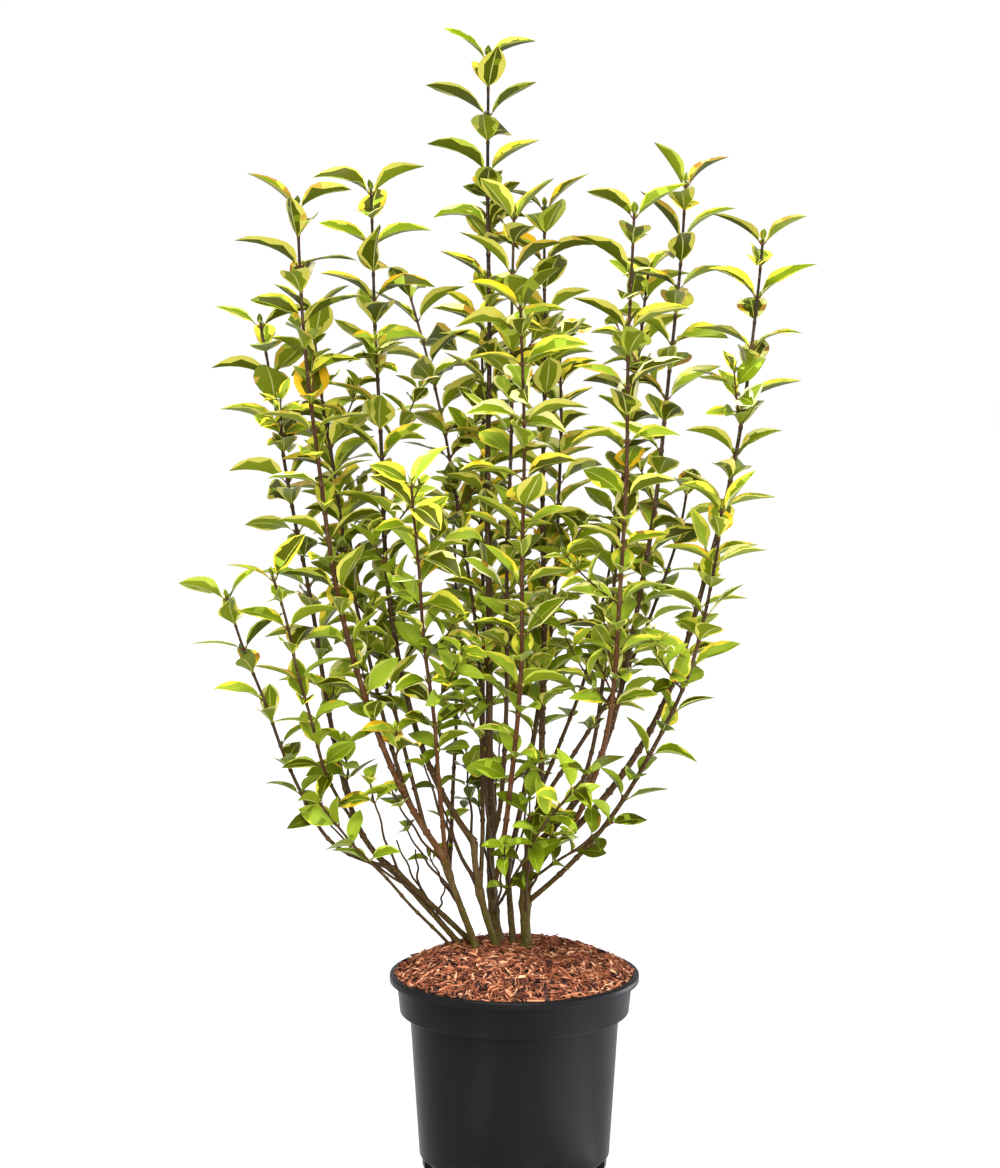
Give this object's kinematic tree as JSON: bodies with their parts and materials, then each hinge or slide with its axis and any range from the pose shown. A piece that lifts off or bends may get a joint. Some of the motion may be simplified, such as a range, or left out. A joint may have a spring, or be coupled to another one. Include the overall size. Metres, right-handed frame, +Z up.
{
  "type": "potted golden privet",
  "caption": "Shrub of many upright leafy shoots with yellow-edged leaves, rising from forked stems in a round black nursery pot topped with bark mulch.",
  "frame": {"origin": "middle of the pot's underside, where the pot stands", "axes": "+Z up along the pot's axis, -Y towards the pictured front, +X to the right as seen from the front"},
  "size_m": [0.6274, 0.4832, 1.1761],
  "materials": {
    "pot_plastic": "matt black moulded plastic with a soft sheen",
    "bark_mulch": "rough reddish-brown shredded bark",
    "bark": "smooth young bark, olive-brown at the foot and purplish brown above",
    "foliage": "satin leaves, yellow edged with green middles"
  },
  "bodies": {
    "root": {"bough_back_left": "bark", "bough_centre_back": "bark", "bough_centre_front": "bark", "bough_centre_right": "bark", "bough_foot_left": "bark", "bough_front": "bark", "bough_front_left": "bark", "bough_leader": "bark", "bough_left_back": "bark", "bough_left_inner": "bark", "bough_left_low": "bark", "bough_left_outer": "bark", "bough_left_rear": "bark", "bough_left_short": "bark", "bough_left_tall": "bark", "bough_rear": "bark", "bough_rear_left": "bark", "bough_rear_right": "bark", "bough_right_back": "bark", "bough_right_front": "bark", "bough_right_low": "bark", "bough_right_outer": "bark", "bough_right_rear": "bark", "bough_right_tall": "bark", "leaves_back_left": "foliage", "leaves_centre_back": "foliage", "leaves_centre_front": "foliage", "leaves_centre_right": "foliage", "leaves_foot_front": "foliage", "leaves_foot_left": "foliage", "leaves_foot_right": "foliage", "leaves_front": "foliage", "leaves_front_left": "foliage", "leaves_leader": "foliage", "leaves_left_back": "foliage", "leaves_left_inner": "foliage", "leaves_left_low": "foliage", "leaves_left_outer": "foliage", "leaves_left_rear": "foliage", "leaves_left_short": "foliage", "leaves_left_tall": "foliage", "leaves_rear": "foliage", "leaves_rear_left": "foliage", "leaves_rear_right": "foliage", "leaves_right_back": "foliage", "leaves_right_front": "foliage", "leaves_right_low": "foliage", "leaves_right_outer": "foliage", "leaves_right_rear": "foliage", "leaves_right_tall": "foliage", "mulch": "bark_mulch", "pot": "pot_plastic", "stem_centre": "bark", "stem_centre_left": "bark", "stem_centre_right": "bark", "stem_left": "bark", "stem_left_inner": "bark", "stem_left_outer": "bark", "stem_right": "bark"}
  },
  "joints": []
}
